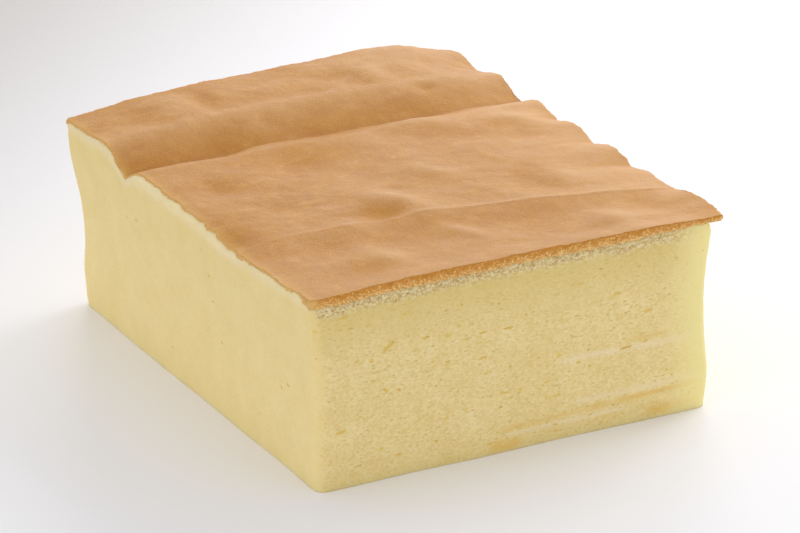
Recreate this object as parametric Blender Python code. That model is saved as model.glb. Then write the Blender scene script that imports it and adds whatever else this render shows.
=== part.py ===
"""Castella sponge cake: a trimmed block of fine yellow crumb under a thin wrinkled brown crust.

The block is one solid. X runs across the cut front face, Y runs from that face to the back, Z is up,
and the origin is on the flat base, under the middle of the block's whole size. A square grid is the
crust's top, with its rows laid along the crust's folds. Its rim is drawn down in rows to make the
crust's lip and the four walls, and every vertex is then set in its place by the functions below.
"""

import math

import bmesh
import bpy
from mathutils import Vector, noise

MM = 0.001

# The block at its base.
BASE_WIDTH = 121.4 * MM
BASE_DEPTH = 148.4 * MM
CORNER_RADIUS = 3.0 * MM
BASE_ROUNDING = 0.3 * MM
BASE_ROUNDING_SPREAD = 0.03

# The walls: drawn in at the waist, full again low down, and flared under the crust. The flare and the
# crust's overhang past it are given for the (front left, front right, back left, back right) corners
# and run evenly from corner to corner: (across, along), and the share of the height the flare starts at.
TOP_FLARE = (
    (2.2 * MM, 0.7 * MM, 0.45),
    (0.9 * MM, 0.7 * MM, 0.7),
    (3.4 * MM, 3.2 * MM, 0.3),
    (1.9 * MM, 2.0 * MM, 0.5),
)
CRUST_OVERHANG = (
    (1.0 * MM, 0.25 * MM),
    (2.2 * MM, 0.25 * MM),
    (0.2 * MM, 0.2 * MM),
    (1.2 * MM, 0.8 * MM),
)
WAIST_DEPTH = 0.5 * MM
WAIST_HEIGHT = 0.6
WAIST_SPREAD = 0.17
BELLY_DEPTH = 0.6 * MM
BELLY_HEIGHT = 0.2
BELLY_SPREAD = 0.13
WALL_UNEVENNESS = 0.45 * MM
WALL_WAVE = 26.0 * MM

CRUST_THICKNESS = 2.6 * MM
CRUST_CORNER_RADIUS = 1.6 * MM
CRUST_EDGE_ROUNDING = 0.6 * MM
EDGE_DROP = 0.4
OVERHANG_WAVE = 8.0 * MM

# Lines that cross the crust from the left wall to the right one, from the front rim to the back rim:
# (sharpness, distance back from the middle at the left edge, half way and at the right edge, height
# there, how much the ends' heights keep to themselves), in millimetres. A line with no sharpness is
# rounded; a sharp one meets its neighbours at an angle.
PLACE_POWER = 2.0
CRUST_LINES = (
    (0.0, (-75.5, -75.5, -75.5), (56.8, 58.0, 57.3), 2.4),
    (0.0, (-60.0, -61.0, -68.5), (56.3, 56.3, 58.2), 4.0),
    (0.0, (-42.0, -47.0, -59.0), (55.8, 55.7, 58.5), 7.0),
    (1.0, (-32.0, -35.6, -50.0), (56.4, 57.1, 56.1), 5.0),
    (0.0, (-23.0, -26.5, -39.5), (56.2, 56.9, 56.1), 3.0),
    (1.35, (-13.0, -16.5, -25.8), (55.6, 56.4, 54.4), 7.0),
    (0.0, (-6.5, -10.0, -16.5), (55.9, 56.5, 57.3), 7.0),
    (1.35, (1.8, -2.0, -6.4), (55.9, 56.5, 54.6), 7.0),
    (0.0, (10.0, 7.0, 5.0), (56.1, 56.5, 56.8), 7.0),
    (1.35, (18.0, 17.0, 15.6), (56.1, 56.5, 54.3), 7.0),
    (0.0, (30.0, 28.0, 27.0), (56.0, 56.5, 56.3), 3.0),
    (0.9, (37.0, 35.8, 36.0), (52.8, 54.7, 53.1), 2.4),
    (0.2, (50.5, 51.5, 49.0), (59.0, 60.5, 57.1), 2.4),
    (0.0, (63.0, 64.0, 63.0), (57.3, 61.2, 54.2), 2.4),
    (0.0, (75.5, 75.5, 75.5), (56.9, 60.9, 55.4), 2.4),
)

# Hollows pressed into the crust, and humps where the depth is negative: (across, back, reach across,
# reach back, turn in degrees, depth), in millimetres.
DENTS = (
    (-33.0, 38.0, 10.0, 5.5, 0.0, 0.6),
    (27.0, 38.5, 9.0, 5.0, 0.0, 0.6),
    (-20.0, 36.0, 10.0, 7.0, 0.0, -0.8),
    (40.0, 74.0, 19.0, 12.0, 0.0, -2.4),
    (-38.0, 64.0, 11.0, 8.0, -80.0, -0.9),
    (-47.0, 61.0, 6.0, 9.0, 0.0, 0.5),
    (-27.0, 63.0, 8.0, 4.0, -85.0, 0.8),
    (25.5, 59.0, 7.0, 4.5, -75.0, -1.0),
    (14.0, 62.0, 7.0, 5.0, 0.0, 0.5),
    (35.0, 60.0, 7.0, 5.0, -85.0, 0.3),
    (37.5, 47.5, 3.0, 1.8, 0.0, 0.9),
    (24.0, 26.5, 9.0, 5.0, -10.0, -1.3),
    (50.0, 18.0, 9.0, 4.5, -35.0, -1.3),
    (35.0, 12.0, 18.0, 5.5, -22.0, 0.7),
    (50.0, 4.0, 7.0, 6.0, 0.0, 0.5),
    (-20.0, 17.0, 13.0, 11.0, 0.0, 1.7),
    (-48.0, 9.0, 8.0, 7.0, -10.0, 1.3),
    (-65.0, -25.0, 9.0, 10.0, 0.0, 2.4),
    (-42.0, -10.0, 7.0, 6.0, 0.0, 0.6),
    (9.0, -8.0, 9.0, 5.0, -42.0, -0.9),
    (-5.0, -13.5, 2.2, 1.8, 0.0, 0.35),
    (-11.0, -22.0, 12.0, 5.2, -62.0, -1.5),
    (-19.0, -29.0, 7.0, 5.0, 0.0, 1.3),
    (41.0, -29.0, 8.0, 5.0, -85.0, -0.7),
    (31.0, -29.0, 8.0, 8.0, 0.0, 1.2),
    (-3.0, -50.0, 8.0, 4.0, -55.0, -1.1),
    (-30.5, -56.0, 9.0, 5.0, -78.0, -1.0),
    (-42.0, -60.0, 8.0, 6.0, 0.0, 0.6),
    (37.0, -62.0, 10.0, 5.0, -82.0, -0.9),
    (53.0, -60.0, 14.0, 5.0, -68.0, 0.9),
    (18.0, -60.0, 7.0, 6.0, 0.0, 0.5),
)
CRUST_UNEVENNESS = 0.5 * MM
CRUST_WAVE = 15.0 * MM

# How finely the block is divided: steps across, steps from each line of the crust to the next one, and
# the shares of the outermost spans where closer steps follow the rim.
COLUMN_STEPS = (36,)
COLUMN_RIM = (0.006, 0.015)
LINE_STEPS = (5, 5, 4, 4, 3, 3, 3, 3, 3, 4, 3, 6, 4, 3)
LINE_RIM = (0.05, 0.14)
# Rows down the wall: the lip by its depth under the crust, then the crumb by its share of the height.
LIP_ROWS = (
    (CRUST_THICKNESS * 0.45, 1.0),
    (CRUST_THICKNESS, 0.85),
    (CRUST_THICKNESS * 1.2, 0.0),
)
CRUMB_ROWS = (0.89, 0.8, 0.7, 0.59, 0.47, 0.35, 0.23, 0.11, 0.02, 0.0)

CRUST_COLOUR = (0.58, 0.32, 0.13, 1.0)
CRUMB_COLOUR = (0.76, 0.62, 0.28, 1.0)


def smooth_step(value):
    """0 below 0, 1 above 1, and an S-curve between."""
    value = min(1.0, max(0.0, value))
    return value * value * (3.0 - 2.0 * value)


def bell(distance, spread):
    """A bump of height 1 at no distance, fading over the spread."""
    return math.exp(-((distance / spread) ** 2))


def stations(steps, rim):
    """Positions counted in spans: even steps in each span, and a few close ones at both ends."""
    last = len(steps)
    inner = [span + step / count for span, count in enumerate(steps) for step in range(count)]
    inner = [place for place in inner if rim[-1] < place < last - rim[-1]]
    return [0.0, *rim, *inner, *(last - place for place in reversed(rim)), float(last)]


def place_across(three, share):
    """The place back, at a share from -1, left, to 1, right, of a line known at its ends and middle."""
    left, middle, right = three
    bend = (left + right) / 2.0 - middle
    return middle + (right - left) / 2.0 * share + bend * abs(share) ** PLACE_POWER


def height_across(three, share, power):
    """The height there: each end's own height fades towards the middle's."""
    left, middle, right = three
    return middle + ((left if share < 0.0 else right) - middle) * abs(share) ** power


def folded_crust(across_share, line):
    """Where a place, counted in lines, is: its share of the half depth, and its height before dents."""
    i = min(int(line), len(CRUST_LINES) - 2)
    s = line - i
    (start, end), places, heights, powers = zip(*CRUST_LINES[i : i + 2])
    front, back = (place_across(place, across_share) for place in places)
    low, high = (height_across(height, across_share, power) for height, power in zip(heights, powers))
    # A cubic whose end slopes are flat on a rounded line and steep on a sharp one.
    eased = s * s * (3.0 - 2.0 * s) + start * s * (1.0 - s) ** 2 - end * s * s * (1.0 - s)
    return (front + (back - front) * s) / CRUST_LINES[-1][1][1], (low + (high - low) * eased) * MM


def dents_depth(x, y):
    """How far the dents lower the crust at this place."""
    depth = 0.0
    for dent_x, dent_y, reach_x, reach_y, turn, deep in DENTS:
        angle = math.radians(turn)
        dx = x - dent_x * MM
        dy = y - dent_y * MM
        along = (dx * math.cos(angle) + dy * math.sin(angle)) / (reach_x * MM)
        over = (dy * math.cos(angle) - dx * math.sin(angle)) / (reach_y * MM)
        depth += deep * MM * math.exp(-along * along - over * over)
    return depth


def of_corners(values, across_share, back_share):
    """The values at a place inside four corners that each have their own."""
    front_left, front_right, back_left, back_right = (Vector(corner) for corner in values)
    front = front_left.lerp(front_right, (across_share + 1.0) / 2.0)
    back = back_left.lerp(back_right, (across_share + 1.0) / 2.0)
    return front.lerp(back, (back_share + 1.0) / 2.0)


def wall_offset(height_share, across_share, back_share):
    """How far the two nearest walls stand out from the base's outline at a share of the height."""
    flare_across, flare_along, start = of_corners(TOP_FLARE, across_share, back_share)
    flare = Vector((flare_across, flare_along)) * smooth_step((height_share - start) / (1.0 - start))
    waist = WAIST_DEPTH * bell(height_share - WAIST_HEIGHT, WAIST_SPREAD)
    belly = BELLY_DEPTH * bell(height_share - BELLY_HEIGHT, BELLY_SPREAD)
    foot = BASE_ROUNDING * bell(height_share, BASE_ROUNDING_SPREAD)
    place = Vector((across_share, back_share, height_share)) * (BASE_WIDTH / 2.0 / WALL_WAVE)
    even = belly - waist - foot + WALL_UNEVENNESS * noise.noise(place)
    return flare + Vector((even, even))


def lip_overhang(across_share, back_share):
    """How far the crust's edge stands out past the two nearest walls under it."""
    place = Vector((across_share * BASE_WIDTH, back_share * BASE_DEPTH, 0.0)) / (2.0 * OVERHANG_WAVE)
    return of_corners(CRUST_OVERHANG, across_share, back_share) * (1.0 + 0.6 * noise.noise(place))


def outline(across_share, back_share, offset, radius):
    """A point of the block's plan with round corners, from shares of -1 to 1 of its half sides."""
    half = Vector((BASE_WIDTH, BASE_DEPTH)) / 2.0 + offset
    x = across_share * half.x
    y = back_share * half.y
    dx = math.copysign(max(0.0, abs(x) - half.x + radius), x)
    dy = math.copysign(max(0.0, abs(y) - half.y + radius), y)
    if dx and dy:
        pull = 1.0 - max(abs(dx), abs(dy)) / math.hypot(dx, dy)
        x -= dx * pull
        y -= dy * pull
    return x, y


def crust_height(x, y, folded):
    """Height of the crust's upper side above the base, from its height before dents."""
    rough = noise.noise(Vector((x / CRUST_WAVE, y / CRUST_WAVE, 0.0)))
    return folded - dents_depth(x, y) + CRUST_UNEVENNESS * rough


def crust_place(across_share, back_share, folded):
    """The place of a vertex of the crust's upper side."""
    inset = Vector((0.0, 0.0))
    if max(abs(across_share), abs(back_share)) > 0.999:
        inset = Vector((CRUST_EDGE_ROUNDING, CRUST_EDGE_ROUNDING))
    offset = wall_offset(1.0, across_share, back_share) + lip_overhang(across_share, back_share)
    x, y = outline(across_share, back_share, offset - inset, CRUST_CORNER_RADIUS)
    return x, y, crust_height(x, y, folded) - inset.x * EDGE_DROP


def wall_place(across_share, back_share, folded, row):
    """The place of a vertex of the lip or of a crumb wall, in the given row."""
    offset = wall_offset(1.0, across_share, back_share)
    top = crust_height(*outline(across_share, back_share, offset, CORNER_RADIUS), folded)
    if row <= len(LIP_ROWS):
        depth, overhang_share = LIP_ROWS[row - 1]
        z = top - depth
        radius = CORNER_RADIUS + (CRUST_CORNER_RADIUS - CORNER_RADIUS) * overhang_share
        overhang = lip_overhang(across_share, back_share) * overhang_share
    else:
        z = top * CRUMB_ROWS[row - len(LIP_ROWS) - 1]
        radius = CORNER_RADIUS
        overhang = Vector((0.0, 0.0))
    offset = wall_offset(z / top, across_share, back_share) + overhang
    return *outline(across_share, back_share, offset, radius), z


def grid_with_walls(bm, columns, lines):
    """A flat grid whose rim is drawn down in rows and closed by one face, with each vertex's row kept.

    Its x and y are the column's and the line's number until the vertices are placed.
    """
    row_of = bm.verts.layers.int.new("row")
    bmesh.ops.create_grid(bm, x_segments=len(columns) - 1, y_segments=len(lines) - 1, size=0.5)
    for vert in bm.verts:
        vert.co.x = round((vert.co.x + 0.5) * (len(columns) - 1))
        vert.co.y = round((vert.co.y + 0.5) * (len(lines) - 1))
    rim = [edge for edge in bm.edges if edge.is_boundary]
    for row in range(1, len(LIP_ROWS) + len(CRUMB_ROWS) + 1):
        drawn = bmesh.ops.extrude_edge_only(bm, edges=rim)["geom"]
        for item in drawn:
            if isinstance(item, bmesh.types.BMVert):
                item[row_of] = row
        rim = [item for item in drawn if isinstance(item, bmesh.types.BMEdge) and item.is_boundary]
    bmesh.ops.holes_fill(bm, edges=rim, sides=0)
    return row_of


def set_over_origin(bm):
    """Move the block so that its whole size is centred on the origin, with the base at height 0."""
    across_all = [vert.co.x for vert in bm.verts]
    back_all = [vert.co.y for vert in bm.verts]
    middle_x = (min(across_all) + max(across_all)) / 2.0
    middle_y = (min(back_all) + max(back_all)) / 2.0
    bmesh.ops.translate(bm, verts=bm.verts, vec=(-middle_x, -middle_y, 0.0))


def cake_mesh():
    """The block as one closed mesh."""
    bm = bmesh.new()
    columns = stations(COLUMN_STEPS, COLUMN_RIM)
    lines = stations(LINE_STEPS, LINE_RIM)
    row_of = grid_with_walls(bm, columns, lines)
    for vert in bm.verts:
        across_share = 2.0 * columns[int(vert.co.x)] - 1.0
        back_share, folded = folded_crust(across_share, lines[int(vert.co.y)])
        row = vert[row_of]
        if row:
            vert.co = wall_place(across_share, back_share, folded, row)
        else:
            vert.co = crust_place(across_share, back_share, folded)
    set_over_origin(bm)
    bmesh.ops.recalc_face_normals(bm, faces=bm.faces)
    for face in bm.faces:
        face.smooth = True
        face.material_index = 0 if max(vert[row_of] for vert in face.verts) < len(LIP_ROWS) else 1
    mesh = bpy.data.meshes.new("castella_cake")
    bm.to_mesh(mesh)
    bm.free()
    mesh.set_sharp_from_angle(angle=math.radians(40.0))
    return mesh


def matte_material(name, colour, roughness):
    """A plain baked surface."""
    material = bpy.data.materials.new(name)
    material.use_nodes = True
    shader = material.node_tree.nodes["Principled BSDF"]
    shader.inputs["Base Color"].default_value = colour
    shader.inputs["Roughness"].default_value = roughness
    shader.inputs["Metallic"].default_value = 0.0
    return material


def clear_objects():
    for old in list(bpy.data.objects):
        bpy.data.objects.remove(old, do_unlink=True)


def main():
    clear_objects()
    parts = bpy.data.collections.new("castella_sponge_cake")
    bpy.context.scene.collection.children.link(parts)
    mesh = cake_mesh()
    mesh.materials.append(matte_material("crust", CRUST_COLOUR, 0.7))
    mesh.materials.append(matte_material("crumb", CRUMB_COLOUR, 0.85))
    cake = bpy.data.objects.new("castella_cake", mesh)
    parts.objects.link(cake)


main()
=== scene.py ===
# Castella sponge cake: a wrinkled brown crust over a block of fine yellow crumb.
# Metres, Z up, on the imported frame's origin. The front is -Y.
import math

import bmesh
import bpy
import numpy as np
from mathutils import Matrix, Vector, noise
from mathutils.bvhtree import BVHTree


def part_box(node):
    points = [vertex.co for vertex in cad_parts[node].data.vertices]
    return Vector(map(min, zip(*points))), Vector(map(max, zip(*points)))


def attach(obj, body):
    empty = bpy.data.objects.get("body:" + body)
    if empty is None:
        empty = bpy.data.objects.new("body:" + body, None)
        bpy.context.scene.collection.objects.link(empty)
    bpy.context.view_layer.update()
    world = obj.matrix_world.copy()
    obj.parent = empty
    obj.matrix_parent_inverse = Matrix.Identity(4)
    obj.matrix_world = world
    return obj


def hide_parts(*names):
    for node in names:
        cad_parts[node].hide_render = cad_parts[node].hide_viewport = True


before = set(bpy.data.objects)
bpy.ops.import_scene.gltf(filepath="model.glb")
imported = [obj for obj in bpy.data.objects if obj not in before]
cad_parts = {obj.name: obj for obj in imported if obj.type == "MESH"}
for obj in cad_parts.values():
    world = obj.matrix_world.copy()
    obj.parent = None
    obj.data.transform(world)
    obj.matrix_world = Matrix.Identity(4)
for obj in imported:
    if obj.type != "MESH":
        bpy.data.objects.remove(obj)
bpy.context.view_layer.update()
nodeLow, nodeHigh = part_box("castella_cake")
cadSize = nodeHigh - nodeLow
mm = 0.001


class Value:
    # a node's output: sums with it add Math nodes
    def __init__(self, graph, socket):
        self.graph = graph
        self.socket = socket

    def math(self, operation, *inputs):
        return self.graph.add("ShaderNodeMath", {"operation": operation}, dict(enumerate(inputs)))

    def __add__(self, other):
        return self.math("ADD", self, other)

    def __sub__(self, other):
        return self.math("SUBTRACT", self, other)

    def __rsub__(self, other):
        return self.math("SUBTRACT", other, self)

    def __mul__(self, other):
        return self.math("MULTIPLY", self, other)

    def __pow__(self, other):
        return self.math("POWER", self, other)

    __radd__, __rmul__ = __add__, __mul__

    def clamped(self):
        return self.math("MINIMUM", self.math("MAXIMUM", self, 0.0), 1.0)

    def ramp(self, start, end):  # 0 at start, 1 at end, eased
        settings = {"interpolation_type": "SMOOTHSTEP"}
        inputs = {"Value": self, "From Min": start, "From Max": end}
        return self.graph.add("ShaderNodeMapRange", settings, inputs)


class Graph:
    # one node tree, for a material or for geometry
    def __init__(self, tree):
        self.tree = tree

    def add(self, kind, settings=None, inputs=None, output=None):
        node = self.tree.nodes.new(kind)
        for name, value in (settings or {}).items():
            setattr(node, name, value)
        for name, value in (inputs or {}).items():
            socket = node.inputs[name] if isinstance(name, int) else self.socket(node.inputs, name)
            for each in value if isinstance(value, list) else [value]:
                self.feed(socket, each)
        return Value(self, self.socket(node.outputs, output) if node.outputs else None)

    def socket(self, sockets, name):  # the socket in use with this name, or the first one
        return next(socket for socket in sockets if socket.enabled and name in (None, socket.name))

    def feed(self, socket, value):
        if isinstance(value, Value):
            self.tree.links.new(value.socket, socket)
        else:
            socket.default_value = value

    def other(self, value, name):  # another output of the node that a value comes from
        return Value(self, self.socket(value.socket.node.outputs, name))

    def mix(self, factor, first, second):  # colours
        settings = {"data_type": "RGBA", "clamp_factor": True}
        return self.add("ShaderNodeMix", settings, {"Factor": factor, "A": first, "B": second}, "Result")

    def layered(self, colour, look, masks):  # a look's colours laid over, by their masks and shares
        for name, mask in masks.items():
            over, share = look[name]
            colour = self.mix(mask * share, colour, over)
        return colour

    def given(self, name):  # one of a geometry tree's named inputs
        return self.other(self.inputs, name)

    def close(self, geometry):  # a geometry tree's end
        real = self.add("GeometryNodeRealizeInstances", {}, {0: geometry})
        smooth = self.add("GeometryNodeSetShadeSmooth", {}, {"Geometry": real})
        inputs = {"Geometry": smooth, "Material": self.given("Material")}
        self.add("NodeGroupOutput", {}, {0: self.add("GeometryNodeSetMaterial", {}, inputs)})

    def finish(self, inputs):  # a material's surface
        surface = self.add("ShaderNodeBsdfPrincipled", {}, inputs)
        self.add("ShaderNodeOutputMaterial", {}, {"Surface": surface})


def newMaterial(name):
    material = bpy.data.materials.new(name)
    material.use_nodes = True
    material.node_tree.nodes.clear()
    return material, Graph(material.node_tree)


def geometryGraph(name, values):
    # a geometry tree with a named input for each value, by its kind
    tree = bpy.data.node_groups.new(name, "GeometryNodeTree")
    for way in ("INPUT", "OUTPUT"):
        tree.interface.new_socket("Piece", in_out=way, socket_type="NodeSocketGeometry")
    kinds = {float: "NodeSocketFloat", int: "NodeSocketInt"}
    for each, value in {**values, "Material": "NodeSocketMaterial"}.items():
        tree.interface.new_socket(each, in_out="INPUT", socket_type=kinds.get(type(value), value))
    graph = Graph(tree)
    graph.inputs = graph.add("NodeGroupInput")
    return graph


# The block's form. Corner values are for front left, front right, back left, back right.
block = {
    "width": cadSize.x * 0.943,  # at the base, without the flare and the crust's overhang
    "depth": cadSize.y * 0.9703,
    "cornerRadius": 3.0 * mm,
    "baseRounding": 0.15 * mm,
    "baseRoundingSpread": 0.03,
    "topFlare": ((2.2, 0.7), (0.9, 0.7), (3.4, 3.2), (1.9, 2.0)),  # mm across, mm along
    "flareStart": (0.45, 0.7, 0.3, 0.5),  # share of the height
    "waist": (0.5 * mm, 0.6, 0.17),  # depth, height share, spread
    "belly": (0.6 * mm, 0.2, 0.13),
    "wallUnevenness": 0.45 * mm,
    "wallWave": 26.0 * mm,
}

crust = {
    "thickness": 3.1 * mm,
    "cornerRadius": (1.8 * mm, 0.5 * mm, 1.6 * mm, 2.0 * mm),  # by corner
    "overhang": ((0.5, 0.25), (2.6, 0.3), (0.1, 0.2), (1.2, 0.8)),  # mm, by corner
    "overhangUnevenness": 0.6,
    "overhangWave": 8.0 * mm,
    "unevenness": 0.42 * mm,
    "wave": 15.0 * mm,
    # front to back: sharpness, mm back from the middle at the left edge, half way and right edge,
    # mm of height there, how much its ends keep to themselves
    "lines": (
        (0.0, (-75.5, -75.5, -75.5), (56.8, 58.0, 57.3), 2.4),
        (0.0, (-60.0, -61.0, -68.5), (56.3, 56.3, 58.2), 4.0),
        (0.0, (-42.0, -47.0, -59.0), (55.8, 55.7, 58.5), 7.0),
        (1.0, (-32.0, -35.6, -50.0), (56.4, 57.1, 56.1), 5.0),
        (0.0, (-23.0, -26.5, -39.5), (56.2, 56.9, 56.1), 3.0),
        (1.35, (-13.0, -16.5, -25.8), (55.6, 56.4, 54.4), 7.0),
        (0.0, (-6.5, -10.0, -16.5), (55.9, 56.5, 57.3), 7.0),
        (1.35, (1.8, -2.0, -6.4), (55.9, 56.5, 54.6), 7.0),
        (0.0, (10.0, 7.0, 5.0), (56.1, 56.5, 56.8), 7.0),
        (1.35, (18.0, 17.0, 15.6), (56.1, 56.5, 54.3), 7.0),
        (0.0, (30.0, 28.0, 27.0), (56.0, 56.5, 56.3), 3.0),
        (0.9, (37.0, 35.8, 36.0), (52.8, 54.7, 53.1), 2.4),
        (0.2, (50.5, 51.5, 49.0), (59.0, 60.5, 57.1), 2.4),
        (0.0, (63.0, 64.0, 63.0), (57.3, 61.2, 54.2), 2.4),
        (0.0, (75.5, 75.5, 75.5), (56.9, 60.9, 55.4), 2.4),
    ),
    "grooves": ((3, (0.0, -0.25, -0.25)), (11, (0.25, 0.25, 0.25))),  # line, from 0, and mm cut along it
    "grooveReach": (1.2 * mm, 0.35 * mm),  # behind the line and before it
    # hollows, and humps where the depth is negative: mm across, mm back, reach along, reach over,
    # turn in degrees, mm deep
    "dents": (
        (-33.0, 38.0, 10.0, 5.5, 0.0, 0.6),
        (27.0, 38.5, 9.0, 5.0, 0.0, 0.6),
        (-20.0, 36.0, 10.0, 7.0, 0.0, -0.8),
        (40.0, 74.0, 19.0, 12.0, 0.0, -2.4),
        (-38.0, 64.0, 11.0, 8.0, -80.0, -0.9),
        (-47.0, 61.0, 6.0, 9.0, 0.0, 0.5),
        (-27.0, 63.0, 8.0, 4.0, -85.0, 0.8),
        (25.5, 59.0, 7.0, 4.5, -75.0, -1.0),
        (14.0, 62.0, 7.0, 5.0, 0.0, 0.5),
        (35.0, 60.0, 7.0, 5.0, -85.0, 0.3),
        (37.5, 47.5, 3.0, 1.8, 0.0, 0.9),
        (24.0, 26.5, 9.0, 5.0, -10.0, -1.3),
        (50.0, 18.0, 9.0, 4.5, -35.0, -1.3),
        (35.0, 12.0, 18.0, 5.5, -22.0, 0.7),
        (50.0, 4.0, 7.0, 6.0, 0.0, 0.5),
        (-20.0, 17.0, 13.0, 11.0, 0.0, 1.7),
        (-48.0, 9.0, 8.0, 7.0, -10.0, 1.3),
        (-65.0, -25.0, 9.0, 10.0, 0.0, 2.4),
        (-42.0, -10.0, 7.0, 6.0, 0.0, 0.6),
        (9.0, -8.0, 9.0, 5.0, -42.0, -0.9),
        (-5.0, -13.5, 2.2, 1.8, 0.0, 0.35),
        (-11.0, -22.0, 12.0, 5.2, -62.0, -1.5),
        (-19.0, -29.0, 7.0, 5.0, 0.0, 1.3),
        (41.0, -29.0, 8.0, 5.0, -85.0, -0.7),
        (31.0, -29.0, 8.0, 8.0, 0.0, 1.2),
        (-3.0, -50.0, 8.0, 4.0, -55.0, -1.1),
        (-30.5, -56.0, 9.0, 5.0, -78.0, -1.0),
        (-42.0, -60.0, 8.0, 6.0, 0.0, 0.6),
        (37.0, -62.0, 10.0, 5.0, -82.0, -0.9),
        (53.0, -60.0, 14.0, 5.0, -68.0, 0.9),
        (18.0, -60.0, 7.0, 6.0, 0.0, 0.5),
    ),
    "placePower": 2.0,
    "wrinkles": (  # mm high, mm wave across, mm wave along
        (0.18, 10.0, 7.0),
        (0.11, 4.5, 3.4),
        (0.06, 2.0, 1.7),
    ),
    "wander": (6.0, 30.0 * mm),  # how the wrinkles wander: mm, and the wave
    "lowered": 0.3 * mm,  # keeps the wrinkles inside the solid's box
    "thin": (0.23, 0.58),  # share of the thickness that the cut shows at the left rim, and at the right
    "tongues": ((-33.5, 3.0, 0.8), (-62.0, 2.5, 0.5)),  # where it hangs lower: mm back, mm spread, mm
    "tornBack": (-31.0, 34.0, 1.3),  # where it is torn back from the left edge: mm from, mm to, mm in
    "tornFade": (0.9, 7.0),  # mm that the torn stretch takes to start at its front and to end at its back
    "tornUnevenness": 0.5,
    "tornWave": 9.0 * mm,
    "golden": 2.2 * mm,  # how far in from the left rim the crust is paler
    "tear": 0.5 * mm,  # how ragged the trimmed rim is
    "tearWave": 3.1 * mm,
    "fineTear": 0.8,  # how much a finer raggedness adds
    "tearInwards": 0.6,  # how much more it is torn in than out
    "chips": 2.0 * mm,  # how deep the rim is chipped
    "chipWave": 1.86 * mm,
    "chipLimit": 0.8 * mm,  # keeps the rows of the cut in order
    "cutSpread": (0.85, 0.9 * mm),  # how strong and how far the cut's look goes on over the top
    "foldReach": 0.3,  # how many lines before and after a place tell how steep and hollow it is
    # the rim's profile from the top side round to the underside: mm down, mm in
    "rim": ((0.05, 0.26), (0.3, 0.05), (1.05, 0.0), (1.9, 0.0), (2.7, 0.1), (3.05, 0.45), (3.15, 1.6)),
}

# How finely the block is divided.
fineness = {
    "across": 198,
    "acrossRim": (0.0015, 0.0045, 0.009),
    "steps": (19, 19, 17, 14, 13, 10, 11, 12, 13, 15, 12, 22, 17, 14),  # from each crust line to the next
    "stepsRim": (0.012, 0.035, 0.07),
    "coarse": 6,  # a hidden side has one face for so many along each way
    "wallRows": 66,
}


def smoothStep(value):
    value = np.clip(value, 0.0, 1.0)
    return value * value * (3.0 - 2.0 * value)


def rise(value, start, reach):  # 0 up to the start, 1 from so far past it
    return smoothStep((value - start) / reach)


def fall(value, end, reach):  # 1 until so far before the end, 0 from the end on
    return smoothStep((end - value) / reach)


def bell(distance, spread):
    return np.exp(-((distance / spread) ** 2))


def roughness(points, wave, seed=0.0):  # soft noise from -1 to 1 at each point
    moved = np.asarray(points) / wave + seed
    return np.array([noise.noise(point) for point in moved.tolist()])


def stations(steps, rim, coarse):
    # positions counted in spans: even steps inside, close ones at both ends, a multiple of coarse in all
    last = len(steps)
    inner = [span + step / count for span, count in enumerate(steps) for step in range(count)]
    inner = [place for place in inner if rim[-1] < place < last - rim[-1]]
    made = [0.0, *rim, *inner, *(last - place for place in reversed(rim)), float(last)]
    while (len(made) - 1) % coarse:  # halve the widest gap until the count fits
        gaps = np.diff(made)
        widest = int(np.argmax(gaps))
        made.insert(widest + 1, made[widest] + gaps[widest] / 2.0)
    return np.array(made)


columns = 2.0 * stations((fineness["across"],), fineness["acrossRim"], fineness["coarse"]) - 1.0
lines = stations(fineness["steps"], fineness["stepsRim"], fineness["coarse"])
lineSharpness, linePlaces, lineHeights, linePowers = map(np.array, zip(*crust["lines"]))
linePlaces, lineHeights = linePlaces * mm, lineHeights * mm


def alongLine(three, share, power):
    # the value at a share from -1 to 1 of a line known at its left end, middle and right end
    left, middle, right = three[:, 0], three[:, 1], three[:, 2]
    return middle + (right - left) / 2.0 * share + ((left + right) / 2.0 - middle) * np.abs(share) ** power


def heightAlong(index, share):  # each end's height fades towards the middle's
    left, middle, right = (lineHeights[index, each] for each in range(3))
    return middle + (np.where(share < 0.0, left, right) - middle) * np.abs(share) ** linePowers[index]


def foldedCrust(share, line):
    # share of the half depth, and height before the dents, of places counted in lines
    first = np.minimum(line.astype(int), len(lineSharpness) - 2)
    s = line - first
    front = alongLine(linePlaces[first], share, crust["placePower"])
    back = alongLine(linePlaces[first + 1], share, crust["placePower"])
    low, high = heightAlong(first, share), heightAlong(first + 1, share)
    start, end = lineSharpness[first], lineSharpness[first + 1]
    eased = s * s * (3.0 - 2.0 * s) + start * s * (1.0 - s) ** 2 - end * s * s * (1.0 - s)
    return (front + (back - front) * s) / linePlaces[-1][1], low + (high - low) * eased


def grooves(share, line):
    # how deep the sharp folds' grooves are at places counted in lines: steep at their front
    depth = np.zeros_like(share)
    backShare, _ = foldedCrust(share, line)
    for index, deep in crust["grooves"]:
        away = backShare * linePlaces[-1][1] - alongLine(linePlaces[[index]], share, crust["placePower"])
        reach = np.where(away > 0.0, *crust["grooveReach"])
        depth += alongLine(np.array([deep]) * mm, share, 1.0) * np.exp(-np.abs(away) / reach)
    return depth


def dentsDepth(x, y):
    depth = np.zeros_like(x)
    for dentX, dentY, reachX, reachY, turn, deep in crust["dents"]:
        angle = math.radians(turn)
        dx, dy = x - dentX * mm, y - dentY * mm
        along = (dx * math.cos(angle) + dy * math.sin(angle)) / (reachX * mm)
        over = (dy * math.cos(angle) - dx * math.sin(angle)) / (reachY * mm)
        depth += deep * mm * np.exp(-along * along - over * over)
    return depth


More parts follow.
